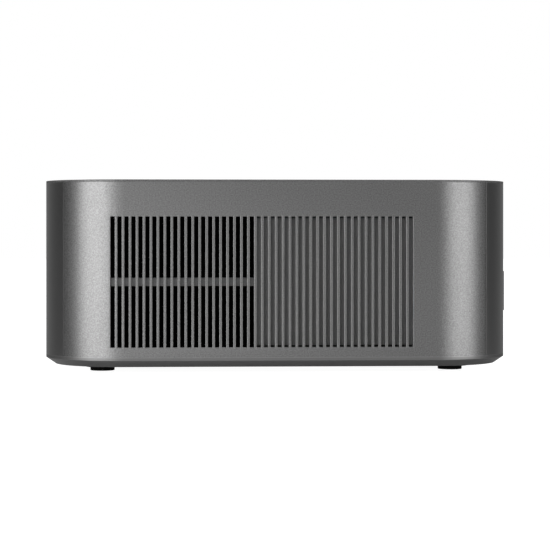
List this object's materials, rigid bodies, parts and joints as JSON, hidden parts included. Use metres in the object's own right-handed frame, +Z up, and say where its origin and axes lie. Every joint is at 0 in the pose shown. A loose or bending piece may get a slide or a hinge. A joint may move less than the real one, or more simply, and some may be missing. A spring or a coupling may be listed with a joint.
{
  "type": "projector",
  "caption": "Flat rounded box projector with slotted sides, lens in one end, connector plate in the other, chamfered base and rubber feet.",
  "frame": {"origin": "on the surface it stands on, under the middle of the case", "axes": "+X towards the connector end, -X towards the lens end, -Y the pictured slotted side, +Z up"},
  "size_m": [0.244, 0.22, 0.0978],
  "materials": {
    "shell_paint": "dark grey metallic flake paint, satin",
    "end_paint": "dark grey smooth metallic paint, satin",
    "tray_paint": "dark grey smooth metallic paint, satin",
    "black_plastic": "fine moulded texture",
    "gloss_black": "polished",
    "vent_grey": "moulded, matt",
    "filter_foam": "open black foam",
    "foot_rubber": "matt",
    "lens_glass": "coated",
    "gear_plastic": "moulded",
    "cast_metal": "cast",
    "bare_aluminium": "extruded",
    "copper": "bright",
    "plated_steel": "plated",
    "bush_brass": "turned",
    "circuit_board": "solder mask"
  },
  "bodies": {
    "case": {"bottom_tray": "tray_paint", "base_plate": "black_plastic", "foot_front_left": "foot_rubber", "foot_front_right": "foot_rubber", "foot_rear_left": "foot_rubber", "foot_rear_right": "foot_rubber", "side_shell_left": "shell_paint", "side_shell_right": "shell_paint", "front_fascia": "end_paint", "rear_panel": "end_paint", "top_cover": "shell_paint", "io_plate": "black_plastic", "vent_blank_left": "vent_grey", "vent_blank_right": "vent_grey", "dust_filter_left": "filter_foam", "dust_filter_right": "filter_foam", "lens_bezel": "gloss_black", "remote_window": "gloss_black", "lens_barrel": "black_plastic", "focus_motor": "plated_steel", "motor_bracket": "black_plastic", "light_engine": "cast_metal", "led_red": "copper", "led_green": "copper", "led_blue": "copper", "chip_board": "circuit_board", "heat_sink_left": "bare_aluminium", "heat_sink_right": "bare_aluminium", "rear_heat_block": "copper", "heat_pipe": "copper", "fan_frame_left": "black_plastic", "fan_frame_right": "black_plastic", "chassis": "cast_metal", "main_board": "circuit_board", "power_socket": "black_plastic", "hdmi_socket_1": "plated_steel", "hdmi_socket_2": "plated_steel", "usb_socket": "plated_steel", "audio_socket": "black_plastic", "speaker_left": "black_plastic", "speaker_right": "black_plastic", "key_board": "circuit_board", "tripod_bush": "bush_brass", "base_screw_front_left": "plated_steel", "base_screw_front_right": "plated_steel", "base_screw_rear_left": "plated_steel", "base_screw_rear_right": "plated_steel", "board_screw_1": "plated_steel", "board_screw_2": "plated_steel", "board_screw_3": "plated_steel", "board_screw_4": "plated_steel"},
    "focus_gear": {"focus_ring": "gear_plastic"},
    "focus_drive": {"focus_pinion": "gear_plastic"},
    "focus_lens": {"lens_cell": "black_plastic", "front_lens": "lens_glass"},
    "fan_left": {"fan_rotor_left": "black_plastic"},
    "fan_right": {"fan_rotor_right": "black_plastic"},
    "button": {"power_button": "end_paint"}
  },
  "joints": [
    {"name": "focus_turn", "type": "hinge", "parent": "case", "child": "focus_gear", "pos_m": [-0.078, 0, 0.05402], "axis": [1, 0, 0], "range_deg": [0, 120]},
    {"name": "focus_drive_turn", "type": "hinge", "parent": "case", "child": "focus_drive", "pos_m": [-0.078, 0, 0.02368], "axis": [1, 0, 0], "range_deg": [-480, 0]},
    {"name": "focus_slide", "type": "slide", "parent": "case", "child": "focus_lens", "axis": [-1, 0, 0], "range_m": [0, 0.005]},
    {"name": "fan_left_spin", "type": "hinge", "parent": "case", "child": "fan_left", "pos_m": [-0.0495, -0.095, 0.04623], "axis": [0, -1, 0], "continuous": true},
    {"name": "fan_right_spin", "type": "hinge", "parent": "case", "child": "fan_right", "pos_m": [-0.0495, 0.095, 0.04623], "axis": [0, 1, 0], "continuous": true},
    {"name": "power_press", "type": "slide", "parent": "case", "child": "button", "axis": [0, 0, -1], "range_m": [0, 0.0008], "stiffness_N_per_m": 300, "springref_m": -0.001}
  ],
  "couplings": [
    {"joint": "focus_turn", "follows": "focus_slide", "rad_per_m": 418.88},
    {"joint": "focus_drive_turn", "follows": "focus_slide", "rad_per_m": -1675.5}
  ]
}
